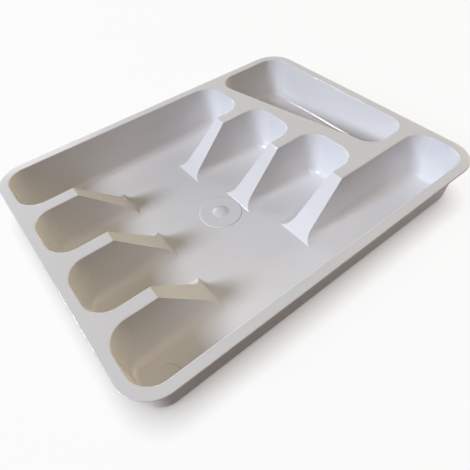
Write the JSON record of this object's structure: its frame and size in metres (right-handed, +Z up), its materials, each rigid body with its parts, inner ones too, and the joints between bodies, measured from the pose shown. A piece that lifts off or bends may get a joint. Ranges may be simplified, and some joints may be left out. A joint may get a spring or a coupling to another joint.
{
  "type": "cutlery tray",
  "caption": "Shallow cutlery tray moulded in one thin shell, with lanes that open into a shared middle and a slanting cell across one end.",
  "frame": {"origin": "middle of the underside, where the tray rests", "axes": "+Z up out of the opening, +X along the length towards the end with the slanting cell, +Y across the width towards the back lane"},
  "size_m": [0.395, 0.31, 0.052],
  "materials": {
    "tray_plastic": "white, satin"
  },
  "bodies": {
    "root": {"tray": "tray_plastic"}
  },
  "joints": []
}
